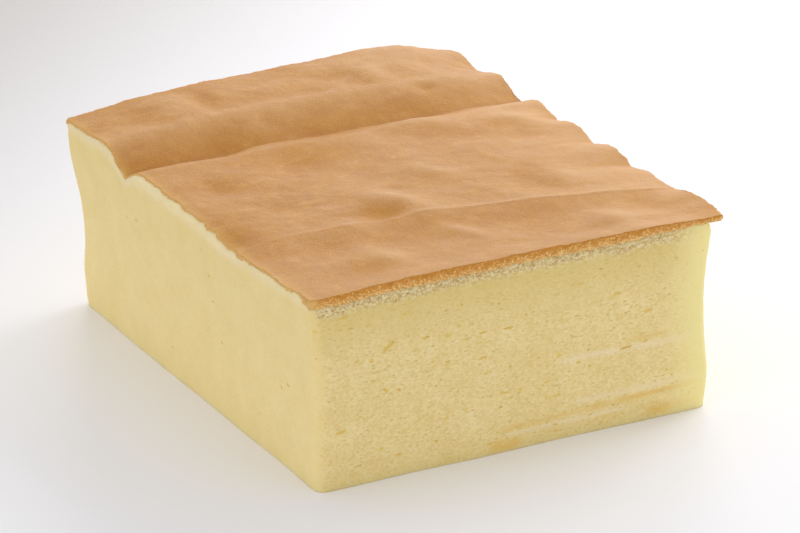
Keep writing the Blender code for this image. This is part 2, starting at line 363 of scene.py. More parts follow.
def ofCorners(values, share, backShare):
    # values known at the four corners, run evenly between them
    frontLeft, frontRight, backLeft, backRight = (np.atleast_1d(corner) for corner in values)
    right = ((share + 1.0) / 2.0)[:, None]
    back = ((backShare + 1.0) / 2.0)[:, None]
    front = frontLeft + (frontRight - frontLeft) * right
    rear = backLeft + (backRight - backLeft) * right
    return front + (rear - front) * back


def wallOffset(heightShare, share, backShare):
    # how far the two nearest walls stand out from the base's outline
    start = ofCorners(block["flareStart"], share, backShare)[:, 0]
    flare = ofCorners(block["topFlare"], share, backShare) * mm
    waist, waistHeight, waistSpread = block["waist"]
    belly, bellyHeight, bellySpread = block["belly"]
    even = belly * bell(heightShare - bellyHeight, bellySpread)
    even -= waist * bell(heightShare - waistHeight, waistSpread)
    even -= block["baseRounding"] * bell(heightShare, block["baseRoundingSpread"])
    place = np.stack((share, backShare, heightShare), axis=1)
    even += block["wallUnevenness"] * roughness(place, 2.0 * block["wallWave"] / block["width"])
    return flare * rise(heightShare, start, 1.0 - start)[:, None] + even[:, None]


def tornShare(share, backShare):  # 1 where the crust is torn back from the left edge
    start, end, _ = crust["tornBack"]
    frontFade, backFade = crust["tornFade"]
    along = backShare * block["depth"] / (2.0 * mm)
    return rise(along, start, frontFade) * fall(along, end, backFade) * smoothStep((-0.9 - share) * 20.0)


def lipOverhang(share, backShare):
    place = np.stack((share * block["width"], backShare * block["depth"], 0.0 * share), axis=1)
    even = 1.0 + crust["overhangUnevenness"] * roughness(place, 2.0 * crust["overhangWave"])
    over = ofCorners(crust["overhang"], share, backShare) * mm * even[:, None]
    uneven = 1.0 + crust["tornUnevenness"] * roughness(place, crust["tornWave"], 3.0)
    back = crust["tornBack"][2] * mm * uneven
    over[:, 0] -= back * tornShare(share, backShare)
    return over


def outline(share, backShare, offset, radius):
    # places in plan, with round corners, from shares of the half sides
    x = share * (block["width"] / 2.0 + offset[:, 0])
    y = backShare * (block["depth"] / 2.0 + offset[:, 1])
    dx = np.maximum(0.0, np.abs(x) - block["width"] / 2.0 - offset[:, 0] + radius)
    dy = np.maximum(0.0, np.abs(y) - block["depth"] / 2.0 - offset[:, 1] + radius)
    length = np.maximum(np.hypot(dx, dy), 1e-9)
    pull = np.where((dx > 0.0) & (dy > 0.0), 1.0 - np.maximum(dx, dy) / length, 0.0)
    return x - np.copysign(dx, x) * pull, y - np.copysign(dy, y) * pull


def crustHeight(x, y, folded):
    place = np.stack((x, y, 0.0 * x), axis=1)
    return folded - dentsDepth(x, y) + crust["unevenness"] * roughness(place, crust["wave"])


def wrinkles(x, y):
    # soft wrinkles that run across, bent by a slow wander
    far, wave = crust["wander"]
    wander = roughness(np.stack((x, y, 0.0 * x), axis=1), wave, 7.3) * far * mm
    height = np.zeros_like(x)
    for order, (high, waveAcross, waveAlong) in enumerate(crust["wrinkles"]):
        place = np.stack((x / waveAcross, (y + wander) / waveAlong, 0.0 * x), axis=1) / mm
        height += high * mm * roughness(place, 1.0, 11.0 * order + 3.0)
    return height


def flatGrid(bm, rowOf, row, coarse):
    # a grid over the column and line numbers, its rim divided at every number
    across, along = len(columns) - 1, len(lines) - 1
    made = bmesh.ops.create_grid(bm, x_segments=across // coarse, y_segments=along // coarse, size=0.5)
    for vert in made["verts"]:
        vert.co = round((vert.co.x + 0.5) * across), round((vert.co.y + 0.5) * along), 0.0
        vert[rowOf] = row
    rim = {edge for vert in made["verts"] for edge in vert.link_edges if edge.is_boundary}
    if coarse > 1:
        cut = bmesh.ops.bisect_edges(bm, edges=list(rim), cuts=coarse - 1)["geom_split"]
        rim |= {item for item in cut if isinstance(item, bmesh.types.BMEdge)}
    return list(rim)


def drawDown(bm, rowOf, rim, rowCount):
    # the rim drawn out in rows, with each vertex's row kept
    for row in range(1, rowCount + 1):
        drawn = bmesh.ops.extrude_edge_only(bm, edges=rim)["geom"]
        for item in drawn:
            if isinstance(item, bmesh.types.BMVert):
                item[rowOf] = row
        rim = [item for item in drawn if isinstance(item, bmesh.types.BMEdge) and item.is_boundary]
    return rim


def readNumbers(bm, rowOf):
    # share across, position in lines, and row of every vertex
    column = np.array([vert.co.x for vert in bm.verts])
    line = np.array([vert.co.y for vert in bm.verts])
    row = np.array([vert[rowOf] for vert in bm.verts])
    share = np.interp(column, np.arange(len(columns)), columns)
    return share, np.interp(line, np.arange(len(lines)), lines), row


def setPlaces(bm, places, **attributes):
    for vert, place in zip(bm.verts, places.tolist()):
        vert.co = place
    for name, values in attributes.items():
        layer = bm.verts.layers.float.new(name)
        for vert, value in zip(bm.verts, values.tolist()):
            vert[layer] = value


def pieceFrom(mesh):
    piece = bpy.data.objects.new(mesh.name, mesh)
    bpy.context.scene.collection.objects.link(piece)
    return piece


def newPiece(name, bm):
    # vertices and faces in the same order on every run, so that what is scattered over them is the same
    bmesh.ops.recalc_face_normals(bm, faces=bm.faces)
    verts = sorted(bm.verts, key=lambda vert: vert.co[:])
    for number, vert in enumerate(verts):
        vert.index = number
    faces = []
    for face in bm.faces:
        corners = [vert.index for vert in face.verts]
        first = corners.index(min(corners))
        faces.append(corners[first:] + corners[:first])
    mesh = bpy.data.meshes.new(name)
    mesh.from_pydata([vert.co[:] for vert in verts], [], sorted(faces))
    for layer in bm.verts.layers.float.values():
        attribute = mesh.attributes.new(layer.name, "FLOAT", "POINT")
        attribute.data.foreach_set("value", [vert[layer] for vert in verts])
    mesh.shade_smooth()
    bm.free()
    return pieceFrom(mesh)


def crustTop(x, y, share, line, folded):  # height of the crust's upper side
    return crustHeight(x, y, folded) + wrinkles(x, y) - grooves(share, line) - crust["lowered"]


def heightAt(share, line):  # the folded height, and the place back, of places counted in lines
    backShare, folded = foldedCrust(share, np.clip(line, 0.0, len(lineSharpness) - 1.0001))
    return folded, backShare * linePlaces[-1][1]


def cutShare(share, y):  # share of the crust's thickness that the cut shows: less at the left and right
    left, right = crust["thin"]
    atLeft = fall(share, -0.9, 0.05) * smoothStep(y / (6.0 * mm) + block["depth"] / (12.0 * mm))
    thickness = 1.0 + (left - 1.0) * atLeft + (right - 1.0) * rise(share, 0.5, 0.5)
    for back, spread, extra in crust["tongues"]:
        thickness += extra * mm / crust["thickness"] * bell(y - back * mm, spread * mm) * atLeft
    return thickness


def makeCrust():
    bm = bmesh.new()
    rowOf = bm.verts.layers.int.new("row")
    rimRows = len(crust["rim"]) - 1
    drawDown(bm, rowOf, flatGrid(bm, rowOf, 0, 1), rimRows)
    flatGrid(bm, rowOf, -1, fineness["coarse"])  # row -1 is the hidden underside
    share, line, row = readNumbers(bm, rowOf)
    atRim = (np.abs(share) > 0.99999) | (line < 1e-5) | (line > len(lineSharpness) - 1 - 1e-5)
    backShare, folded = foldedCrust(share, line)
    profile = np.array(crust["rim"]) * mm
    under = (row < 0) & ~atRim
    level = np.where(row < 0, rimRows, row)
    down, inset = (np.where(atRim, way[level], np.where(under, way[-1], 0.0)) for way in profile.T)
    offset = wallOffset(np.ones_like(share), share, backShare) + lipOverhang(share, backShare)
    radius = ofCorners(crust["cornerRadius"], share, backShare)[:, 0]
    x, y = outline(share, backShare, offset, radius)
    down *= np.where(atRim, cutShare(share, y), 1.0)
    top = crustTop(x, y, share, line, folded)
    place = np.stack((x, y, top - down), axis=1)
    chipped = crust["chips"] * roughness(place, crust["chipWave"], 9.0)
    chipped = np.clip(chipped, 0.0, crust["chipLimit"])
    top -= chipped * cutShare(share, y) * (atRim & (row >= 0) & (row < 3))  # the cut's upper rows only
    fine = crust["fineTear"] * roughness(place, crust["tearWave"] / 3.0, 5.0)
    torn = roughness(place, crust["tearWave"]) + fine
    nearRim = np.maximum(np.abs(share), np.abs(backShare)) ** 40.0
    torn = (torn - crust["tearInwards"]) * crust["tear"] * nearRim
    x, y = outline(share, backShare, offset + (torn - inset)[:, None], radius)

    # what the looks go by: the cut edge, steep and hollow places for the painted shade and painted
    # highlight, the pale left rim, and the right end where light is painted
    cut = np.where(atRim | (row < 0), rise(down, 0.01 * mm, 0.14 * mm), 0.0)
    fromSides = (1.0 - np.abs(share)) * block["width"]
    fromEnds = (1.0 - np.abs(backShare)) * block["depth"]
    fromRim = np.minimum(fromSides, fromEnds) / 2.0
    strength, spread = crust["cutSpread"]
    cut = np.maximum(cut, strength * (1.0 - smoothStep(fromRim / spread)))
    # how steep and how hollow each place is: the painted shade on slopes and in creases, and the painted
    # highlight on crests, go by these
    before, beforeY = heightAt(share, line - crust["foldReach"])
    after, afterY = heightAt(share, line + crust["foldReach"])
    steep = np.abs(after - before) / np.maximum(afterY - beforeY, mm)
    hollow = (before + after) / 2.0 - folded + 0.5 * dentsDepth(x, y)
    hollow = hollow - wrinkles(x, y) + 2.0 * grooves(share, line)
    golden = bell((share + 1.0) * block["width"] / 2.0, crust["golden"])
    # painted light: the right end is painted lighter, where the lamp falls
    sunny = smoothStep(share * 1.4 - 0.4) * fall(backShare, 0.75, 0.3)
    low = cut * np.clip(down / (crust["thickness"] * cutShare(share, y)), 0.0, 1.0)
    grains = atRim * rise(low, 0.05, 0.1) * fall(low, 0.97, 0.1)  # the most on the cut's lower part
    grains *= 0.35 + 0.65 * smoothStep(low * 2.2 - 0.5)
    place = np.stack((x, y, top - down), axis=1)
    looks = dict(cut=cut, steep=steep, hollow=hollow / mm, golden=golden)
    setPlaces(bm, place, **looks, grains=grains, low=low, sunny=sunny)
    bmesh.ops.remove_doubles(bm, verts=[vert for vert in bm.verts if vert.is_boundary], dist=1e-7)
    return newPiece("crust", bm)


crumb = {
    "tuck": 0.7 * mm,  # how far the crumb draws in under the crust's lip
    "shoulder": (0.7 * mm, 0.8 * mm),  # how round the left wall's top is, and more where the crust is torn
    "rowPower": 1.25,  # rows of faces lie closer near the crust
    "relief": ((0.10, 7.0), (0.07, 2.4), (0.035, 1.3)),  # mm high, mm wave
    "bandRelief": (0.16 * mm, 1.1 * mm),  # high and wave, in the airy band
    "tornRelief": (0.25 * mm, 2.4 * mm),  # and along the left wall's torn top
    "band": (1.4 * mm, 7.0 * mm, 1.1 * mm),  # from and to under the crust's top, and the fade
    "bandUneven": ((0.9 * mm, 9.0 * mm), (0.5 * mm, 2.5 * mm)),  # how its lower edge wanders, and the wave
    "paleRim": (0.6, 5.0 * mm, 3.6 * mm),  # how much paler the left wall's top is, how deep, and the fade
    # the front's right end, painted bright as if the light shone through it: by share across and fade,
    # where the painted glow is, how many pores and how much of the band it lacks, and where the band's
    # grains end
    "glow": (0.72, 0.27),
    "poresThin": (0.7, 0.8, 0.1),
    "bandThins": (0.45, 0.82, 0.16),
    "grainsEnd": (0.88, 0.12),
    "poreShare": (0.06, 0.6, 0.8, 0.6),  # how many pores the left, right, front and back walls have
    "poreTop": 6.2 * mm,  # no pore is nearer to the crust's top, or to the base
    "poreBase": 1.6 * mm,
    "clearOfLarge": 1.5,  # mm that the small pores keep from a large one
    "sharpAngle": math.radians(48.0),  # the pores' rims are sharp edges
    "streakFade": 4.0,  # mm, at both ends
    # denser streaks on the walls near the base, and paler ones: mm from, mm to along the wall, mm up
    # at both ends, mm high, strength
    "streaks": (
        (-7.0, 16.0, 6.8, 7.2, 0.8, 0.8),
        (12.0, 34.0, 7.4, 8.0, 0.7, 0.7),
        (30.0, 50.0, 7.9, 8.4, 0.7, 1.4),
        (46.0, 62.0, 8.5, 9.0, 0.7, 1.3),
        (-10.0, 3.0, 2.2, 1.9, 1.6, 1.4),
        (39.0, 51.0, 2.9, 2.7, 1.5, 1.3),
        (48.0, 63.0, 3.0, 3.2, 1.2, 0.7),
        (24.0, 34.0, 4.0, 3.7, 1.0, 0.5),
        (21.0, 31.0, 8.0, 8.0, 1.4, 0.4),
        (35.0, 49.0, 25.6, 25.0, 0.7, 0.8),
        (12.0, 64.0, 23.4, 22.3, 0.7, -0.9),
        (16.0, 63.0, 10.4, 10.8, 0.8, -0.7),
        (-6.0, 36.0, 5.0, 5.6, 0.7, -0.8),
    ),
}

# Large pores on the front: mm across, mm up, mm long, mm high, turn in degrees
largePores = (
    (-52.9, 50.0, 3.0, 1.1, 5.0),
    (-34.4, 47.4, 2.2, 1.0, 10.0),
    (-39.3, 38.3, 5.0, 1.3, 40.0),
    (-27.9, 38.7, 2.2, 0.9, 12.0),
    (-21.0, 37.8, 2.3, 1.1, 0.0),
    (-10.4, 36.6, 2.8, 0.8, 4.0),
    (-2.4, 36.4, 3.2, 0.9, 5.0),
    (-10.6, 29.2, 3.0, 0.8, 8.0),
    (-40.2, 26.0, 2.3, 0.9, -30.0),
    (-4.5, 18.0, 2.6, 0.9, -18.0),
    (-54.0, 16.9, 3.4, 1.2, 8.0),
    (-36.4, 6.6, 2.1, 1.1, 0.0),
    (9.2, 18.3, 2.1, 0.9, 10.0),
    (12.1, 13.6, 2.5, 0.8, 6.0),
    (31.3, 39.6, 3.0, 0.9, 8.0),
    (41.2, 32.7, 3.2, 1.2, 5.0),
    (13.2, 25.3, 1.6, 1.7, 0.0),
    (19.2, 45.2, 2.8, 0.7, 8.0),
    (34.2, 23.2, 3.8, 0.7, 5.0),
)


def streakAt(across, up):
    # denser, 1, to paler, -1, by place on a wall
    total = np.zeros_like(across)
    fade = crumb["streakFade"]
    for start, end, low, high, thick, strength in crumb["streaks"]:
        along = np.clip((across / mm - start) / (end - start), 0.0, 1.0)
        away = (up / mm - low - (high - low) * along) / thick
        inside = rise(across / mm, start, fade) * fall(across / mm, end, fade)
        total += strength * inside * np.exp(-away * away)
    return np.clip(total, -1.0, 1.5)


def makeCrumb():
    bm = bmesh.new()
    rowOf = bm.verts.layers.int.new("row")
    rows = fineness["wallRows"]
    rim = drawDown(bm, rowOf, flatGrid(bm, rowOf, 0, fineness["coarse"]), rows)
    bmesh.ops.holes_fill(bm, edges=rim, sides=0)
    share, line, row = readNumbers(bm, rowOf)
    backShare, folded = foldedCrust(share, line)
    atTop = wallOffset(np.ones_like(share), share, backShare)
    x, y = outline(share, backShare, atTop, block["cornerRadius"])
    top = crustTop(x, y, share, line, folded)
    start, end, _ = crust["tornBack"]
    bare = (share < -0.93) & (y > (start - 3.0) * mm) & (y < (end - 4.0) * mm)
    inside = (row == 0) & (np.abs(share) < 0.9999) & (np.abs(backShare) < 0.9999) & ~bare
    under = 0.5 * crust["thickness"] * np.where(inside, 1.1, cutShare(share, y))
    z = (top - under) * (1.0 - (row / rows) ** crumb["rowPower"])
    depth = top - z
    offset = wallOffset(z / top, share, backShare)
    onLeft = fall(share, -0.94, 0.05)
    tuck = crumb["tuck"] * (1.0 - rise(depth, 0.5 * crust["thickness"], crust["thickness"]))
    shoulder = crumb["shoulder"][0] + crumb["shoulder"][1] * tornShare(share, backShare)
    over = np.clip(1.0 - (depth - under) / shoulder, 0.0, 1.0)
    rounded = shoulder * (1.0 - np.sqrt(1.0 - over * over))
    offset -= (tuck + (rounded - tuck) * onLeft)[:, None]
    x, y = outline(share, backShare, offset, block["cornerRadius"])
    place = np.stack((x, y, z), axis=1)

    bandFrom, bandTo, fade = crumb["band"]
    (slow, slowWave), (quick, quickWave) = crumb["bandUneven"]
    uneven = slow * roughness(place * (1.0, 1.0, 0.0), slowWave) + quick * roughness(place, quickWave)
    band = rise(depth, bandFrom, fade) * fall(depth, bandTo + uneven, 2.4 * fade)
    onWall = (row > 0) * smoothStep(z / mm)
    relief = sum(high * mm * roughness(place, wave * mm, 2.0) for high, wave in crumb["relief"])
    torn = fall(share, -0.96, 0.03) * fall(depth, 4.0 * mm, 2.0 * mm)
    high, wave = crumb["bandRelief"]
    relief += high * np.maximum(band, torn) * (roughness(place, wave, 4.0) - 0.3)
    high, wave = crumb["tornRelief"]
    relief += high * torn * roughness(place, wave, 6.0)
    setPlaces(bm, place)
    bm.normal_update()
    normals = np.array([vert.normal[:] for vert in bm.verts])
    normals[:, 2] *= 0.3  # the relief moves the walls mostly in plan
    place += normals * (relief * onWall)[:, None]

    # what the pores, the grains and the looks go by
    left, right, front, back = crumb["poreShare"]
    facing = np.abs(normals[:, :2]).argmax(axis=1)
    side = np.where(normals[:, 0] < 0.0, left, right)
    side = np.where(facing == 1, np.where(normals[:, 1] < 0.0, front, back), side)
    pore = side * onWall * rise(depth, crumb["poreTop"], mm) * rise(z, crumb["poreBase"], mm)
    less, start, fade = crumb["poresThin"]
    pore *= 1.0 - less * (facing == 1) * rise(share, start, fade)
    for acrossMm, upMm, long, _, _ in largePores:
        near = np.hypot(x - acrossMm * mm, z - upMm * mm) < (long / 2.0 + crumb["clearOfLarge"]) * mm
        pore[near & (y < 0.0)] = 0.0
    along = np.where(facing == 1, np.where(normals[:, 1] < 0.0, x, -x), -y)
    streak = streakAt(along, z) * onWall * rise(share, -0.98, 0.06)
    pale, paleTo, paleFade = crumb["paleRim"]
    streak -= pale * onLeft * fall(depth, paleTo + uneven, paleFade)
    less, start, fade = crumb["bandThins"]
    band *= rise(share, -1.0, 0.05) * (1.0 - less * rise(share, start, fade))
    grains = onWall * rise(band, 0.4, 0.4) * fall(share, *crumb["grainsEnd"])
    # painted glow: the front's right end is painted brighter, as if the light shone through it
    glow = rise(share, *crumb["glow"]) * np.clip(-normals[:, 1], 0.0, 1.0)
    setPlaces(bm, place, band=band, streak=streak, pore=pore, grains=grains, calm=onLeft, glow=glow)
    return newPiece("crumb", bm)


def paint(red, green, blue):
    # a colour from its screen values of 0 to 255
    screen = np.array((red, green, blue)) / 255.0
    return (*np.where(screen > 0.04045, ((screen + 0.055) / 1.055) ** 2.4, screen / 12.92), 1.0)


def attributeValue(graph, name):
    return graph.add("ShaderNodeAttribute", {"attribute_name": name}, {}, "Fac")


def noiseValue(graph, place, wave, detail):
    inputs = {"Vector": place, "Scale": 1.0 / wave, "Detail": detail, "Roughness": 0.55}
    return graph.add("ShaderNodeTexNoise", {}, inputs)


crumbLook = {
    "pale": paint(250, 230, 175),
    "deep": paint(233, 209, 137),
    "band": paint(252, 238, 196),
    "bandDeep": paint(200, 160, 92),
    "bandShare": 0.85,
    # colours laid over, and how strongly
    "speck": (paint(212, 184, 100), 0.55),
    "rich": (paint(221, 197, 119), 1.0),  # the walls' upper part and foot are yellower
    "dense": (paint(234, 192, 96), 0.6),
    "light": (paint(250, 231, 198), 0.75),
    # painted glow, where the light shines through the right end
    "glow": (paint(255, 238, 168), 1.0),
    # the pores' walls: a deeper yellow, painted shade in the recesses
    "inside": (paint(240, 213, 124), 0.85),
    "richFade": (34.0 * mm, 54.0 * mm),
    "richShare": 0.6,
    "richFoot": 9.0 * mm,
    "richFootShare": 0.25,
    "grains": ((0.95 * mm, 3.0), (0.4 * mm, 2.0)),  # coarse and fine: wave and detail
    "clouds": ((9.0 * mm, 2.0), (2.6 * mm, 1.0)),  # clouds and patches: wave and detail
    "cell": 2.4 * mm,  # from speck to speck
    "flatness": (1.0, 1.0, 1.6),  # the grain is a little longer than high, and the specks more so
    "speckFlatness": (1.0, 1.0, 2.6),
    "calming": 0.75,  # how much smoother the left wall looks
}


def crumbMaterial(name, airyOnly=False):
    material, graph = newMaterial(name)
    look = crumbLook
    place = graph.add("ShaderNodeTexCoord", output="Object")
    flat = graph.add("ShaderNodeVectorMath", {"operation": "MULTIPLY"}, {0: place, 1: look["flatness"]})
    grain, fine = (noiseValue(graph, flat, *each) for each in look["grains"])
    airy = 0.5 + (grain - 0.5) * 3.4 + (fine - 0.5) * 2.8
    airy = graph.mix(airy.clamped(), look["bandDeep"], look["band"])
    if airyOnly:
        colour, height = airy, grain * 0.5 + fine * 0.5
    else:
        names = ("band", "streak", "inside", "calm", "glow")
        band, streak, inside, onLeft, glow = (attributeValue(graph, name) for name in names)
        clouds, patches = (noiseValue(graph, place, *each) for each in look["clouds"])
        inputs = {0: place, 1: look["speckFlatness"]}
        long = graph.add("ShaderNodeVectorMath", {"operation": "MULTIPLY"}, inputs)
        cells = graph.add("ShaderNodeTexVoronoi", {}, {"Vector": long, "Scale": 1.0 / look["cell"]})
        calm = 1.0 - onLeft * look["calming"]
        up = graph.add("ShaderNodeSeparateXYZ", {}, {"Vector": place}, "Z")
        rich = up.ramp(*look["richFade"]) * look["richShare"]
        rich = rich + up.ramp(look["richFoot"], 0.0) * look["richFootShare"]
        rich = rich * (1.0 - onLeft * 0.7) * (1.0 - band * 0.6) * (0.6 + patches * 0.8)
        specks = (1.0 - cells.ramp(0.16, 0.36)) * patches.ramp(0.43, 0.6) * calm
        tone = (grain - 0.5) * 2.2 + (fine - 0.5) * 0.7 + (patches - 0.5) * 0.8
        tone = 0.5 + (clouds - 0.5) * 0.6 + tone * calm
        dense = (streak * (patches * 1.5 + grain * 0.8 - 0.25)).clamped()
        colour = graph.mix(tone.clamped(), look["deep"], look["pale"])
        colour = graph.layered(colour, look, {"speck": specks})
        colour = graph.mix(band * look["bandShare"], colour, airy)
        # laid over: richer and denser parts, paler streaks, the right end's painted glow, and the painted
        # shade inside the pores
        masks = {"rich": rich, "dense": dense, "light": streak * -1.0, "glow": glow, "inside": inside}
        colour = graph.layered(colour, look, masks)
        height = (grain * 0.55 + fine * 0.45) * calm - specks * 0.6
    normal = graph.add("ShaderNodeBump", {}, {"Height": height, "Strength": 0.4, "Distance": 0.2 * mm})
    graph.finish({
        "Base Color": colour,
        "Normal": normal,
        "Roughness": 0.86,
        "Specular IOR Level": 0.2,
        "Subsurface Weight": 0.15 if airyOnly else 0.4,
        "Subsurface Radius": (1.0, 0.8, 0.5),
        "Subsurface Scale": 1.0 * mm if airyOnly else 3.5 * mm,
    })
    return material


crustLook = {
    "tan": paint(196, 140, 60),
    "brown": paint(182, 122, 50),
    "cut": paint(246, 206, 134),
    "cutDeep": paint(210, 142, 54),
    # colours laid over, and how strongly
    "blush": (paint(207, 152, 84), 0.4),
    "fleck": (paint(180, 124, 68), 0.5),
    "paleFleck": (paint(226, 180, 118), 0.5),
    # painted light on the right end
    "sunny": (paint(222, 170, 112), 0.5),
    # painted highlight on the crests, where the sheen catches them
    "ridgeHighlight": (paint(224, 182, 138), 0.38),
    # painted shade on the steep slopes, with some of the crust's own deeper brown
    "slopeShade": (paint(182, 124, 62), 0.15),
    # painted shade in the creases and hollows
    "creaseShade": (paint(160, 100, 46), 0.28),
    "golden": (paint(224, 178, 100), 0.4),
    # painted light: the left rim's cut, turned away from the light, painted paler
    "rimPaintedLight": (paint(228, 184, 112), 0.8),
    # clouds, blush, mottle, grain and fine grain: wave and detail
    "noises": ((13.0 * mm, 3.0), (5.5 * mm, 4.0), (3.4 * mm, 3.0), (0.7 * mm, 2.0), (0.32 * mm, 2.0)),
    "roughness": 0.56,
}


def crustMaterial(name):
    material, graph = newMaterial(name)
    look = crustLook
    place = graph.add("ShaderNodeTexCoord", output="Object")
    clouds, blush, mottle, grain, fine = (noiseValue(graph, place, *each) for each in look["noises"])
    names = ("cut", "hollow", "steep", "golden", "sunny", "low", "light")
    cut, hollow, steep, golden, sunny, low, light = (attributeValue(graph, name) for name in names)
    tone = 0.5 + (clouds - 0.5) * 1.1 + (mottle - 0.5) * 1.1 + (grain - 0.5) * 1.0
    colour = graph.mix(tone.clamped(), look["brown"], look["tan"])
    colour = graph.layered(colour, look, {
        "blush": blush.ramp(0.5, 0.68),
        "fleck": grain.ramp(0.46, 0.3),
        "paleFleck": fine.ramp(0.55, 0.72),
        # painted light on the right end
        "sunny": sunny,
        # painted highlight on the crests
        "ridgeHighlight": hollow.ramp(0.6, -1.1),
        # painted shade on the steep slopes, partly the crust's own deeper brown
        "slopeShade": steep.ramp(0.12, 0.62),
        # painted shade in the creases and hollows
        "creaseShade": hollow.ramp(0.5, 2.2),
    })
    # the cut edge: granular, with a ragged start, and paler towards the crumb
    granular = 0.5 + (grain - 0.5) * 4.0 + (fine - 0.5) * 4.4 + (low - 0.72) * 1.3 + light * 0.8
    edge = graph.mix(granular.clamped(), look["cutDeep"], look["cut"])
    cut = (cut + (grain - 0.5) * 1.2 + (fine - 0.5) * 0.6).ramp(0.28, 0.68)
    colour = graph.mix(cut, colour, edge)
    golden = golden * (0.6 + mottle * 0.8)
    # the left rim's cut is painted paler against its shade
    colour = graph.layered(colour, look, {"golden": golden, "rimPaintedLight": golden * cut})
    height = mottle * 0.6 + grain * 0.5 + fine * 0.4
    normal = graph.add("ShaderNodeBump", {}, {"Height": height, "Strength": 0.7, "Distance": 0.3 * mm})
    graph.finish({
        "Base Color": colour,
        "Normal": normal,
        "Roughness": look["roughness"] + (mottle - 0.5) * 0.2,
        "Specular IOR Level": 0.25,
    })
    return material


materials = {
    "crumb": crumbMaterial("spongeCrumb"),
    "airy": crumbMaterial("airyCrumb", airyOnly=True),
    "crust": crustMaterial("brownedCrust"),
}
print("materials", len(materials))

pores = {
    "Spacing": 2.1 * mm,
    "Density": 90000.0,  # per square metre, before the spacing thins it
    "Smallest": 0.22 * mm,  # half the length of the smallest pore
    "Largest": 0.95 * mm,
    "Skew": 3.0,  # higher: fewer large ones
    "Flatness": 0.36,  # height over length
    "Depth": 0.34,  # depth over half the length
    "Tilt": 0.45,  # radians
    "Rough": 0.2 * mm,
    "Seed": 11,
}


def randomValue(graph, low, high, seed, kind="FLOAT"):
    inputs = {"Min": low, "Max": high, "Seed": seed}
    return graph.add("FunctionNodeRandomValue", {"data_type": kind}, inputs, "Value")


def vector(graph, x, y, z):
    return graph.add("ShaderNodeCombineXYZ", {}, {0: x, 1: y, 2: z})


def shaken(graph, geometry, amount, wave):  # points moved by soft noise
    noisy = graph.add("ShaderNodeTexNoise", {}, {"Scale": 1.0 / wave}, "Color")
    off = graph.add("ShaderNodeVectorMath", {"operation": "SUBTRACT"}, {0: noisy, 1: (0.5, 0.5, 0.5)})
    off = graph.add("ShaderNodeVectorMath", {"operation": "SCALE"}, {0: off, "Scale": amount * 4.0})
    return graph.add("GeometryNodeSetPosition", {}, {"Geometry": geometry, "Offset": off})


def marked(graph, geometry, name, value):
    inputs = {"Geometry": geometry, "Name": name, "Value": value}
    return graph.add("GeometryNodeStoreNamedAttribute", {"data_type": "FLOAT"}, inputs)


def scatteredOn(graph, where):
    # points over the given piece, as dense as its attribute says
    share = graph.add("GeometryNodeInputNamedAttribute", {"data_type": "FLOAT"}, {"Name": where})
    inputs = {
        "Mesh": graph.given("Piece"),
        "Distance Min": graph.given("Spacing"),
        "Density Max": graph.given("Density"),
        "Density Factor": share,
        "Seed": graph.given("Seed"),
    }
    points = graph.add("GeometryNodeDistributePointsOnFaces", {"distribute_method": "POISSON"}, inputs)
    return points, graph.other(points, "Normal")


def poreTree():
    # flat uneven balls, small ones scattered and large ones given, cut out of the piece
    graph = geometryGraph("poreTree", {**pores, "Large Pores": "NodeSocketObject"})
    points, normal = scatteredOn(graph, "pore")
    seed = graph.given("Seed")
    spread = graph.given("Largest") - graph.given("Smallest")
    half = graph.given("Smallest") + spread * randomValue(graph, 0.0, 1.0, seed) ** graph.given("Skew")
    flatness = graph.given("Flatness") * randomValue(graph, 0.7, 1.6, seed + 1.0)
    scale = vector(graph, half * graph.given("Depth"), half, half * flatness)
    settings = {"axis": "X", "pivot_axis": "Z"}
    outward = graph.add("FunctionNodeAlignRotationToVector", settings, {"Vector": normal})
    turn = randomValue(graph, -1.0, 1.0, seed + 2.0) * graph.given("Tilt")
    turn = graph.add("FunctionNodeEulerToRotation", {}, {"Euler": vector(graph, turn, 0.0, 0.0)})
    inputs = {"Rotation": outward, "Rotate By": turn}
    turned = graph.add("FunctionNodeRotateRotation", {"rotation_space": "LOCAL"}, inputs)
    ball = graph.add("GeometryNodeMeshUVSphere", {}, {"Segments": 8, "Rings": 5, "Radius": 1.0})
    inputs = {"Points": points, "Instance": ball, "Rotation": turned, "Scale": scale}
    small = graph.add("GeometryNodeInstanceOnPoints", {}, inputs)
    small = graph.add("GeometryNodeRealizeInstances", {}, {0: small})
    large = graph.add("GeometryNodeObjectInfo", {}, {"Object": graph.given("Large Pores")}, "Geometry")
    both = graph.add("GeometryNodeJoinGeometry", {}, {0: [small, large]})
    # the pores' walls are marked, for the painted shade in them
    both = marked(graph, shaken(graph, both, graph.given("Rough"), 0.8 * mm), "inside", 1.0)
    body = marked(graph, graph.given("Piece"), "inside", 0.0)
    inputs = {"Mesh 1": body, "Mesh 2": both}
    settings = {"operation": "DIFFERENCE", "solver": "MANIFOLD"}
    graph.close(graph.add("GeometryNodeMeshBoolean", settings, inputs))
    return graph.tree


bandGrains = {
    "Spacing": 0.85 * mm,
    "Density": 2000000.0,
    "Smallest": 0.3 * mm,
    "Largest": 0.62 * mm,
    "Sunk": 0.22 * mm,
    "Seed": 5,
}

edgeGrains = {
    "Spacing": 0.58 * mm,
    "Density": 2800000.0,
    "Smallest": 0.15 * mm,
    "Largest": 0.45 * mm,
    "Sunk": 0.06 * mm,
    "Seed": 9,
}


